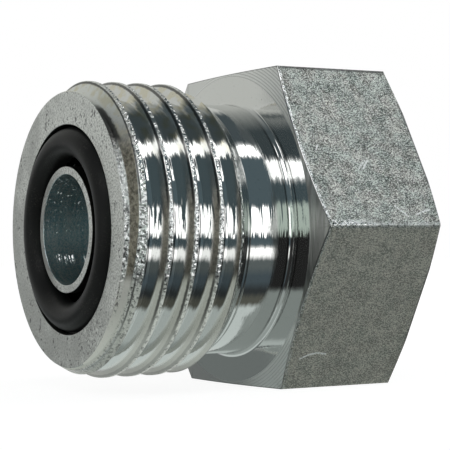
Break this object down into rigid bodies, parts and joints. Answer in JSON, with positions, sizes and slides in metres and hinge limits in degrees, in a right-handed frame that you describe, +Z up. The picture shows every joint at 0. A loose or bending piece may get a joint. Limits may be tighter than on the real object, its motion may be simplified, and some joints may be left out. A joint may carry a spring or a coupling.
{
  "type": "hex head face seal plug",
  "caption": "Hexagon-headed threaded steel plug with a plain neck, a rubber sealing ring in a groove of its flat nose face and a blind bore in the nose.",
  "frame": {"origin": "on the surface below the middle of the plug's whole length, from the end face of the hexagon to the crown of the sealing ring", "axes": "+Z up, the plug lies on a flat of its hexagon; the plug's axis runs along X and the nose face looks toward -X; two corners of the hexagon point along +Y and -Y"},
  "size_m": [0.0196, 0.022, 0.019],
  "materials": {
    "zinc_plated_steel": "zinc plated, satin to bright, with fine turning marks",
    "black_rubber": "matte with a soft sheen"
  },
  "bodies": {
    "root": {"plug_body": "zinc_plated_steel", "o_ring": "black_rubber"}
  },
  "joints": []
}
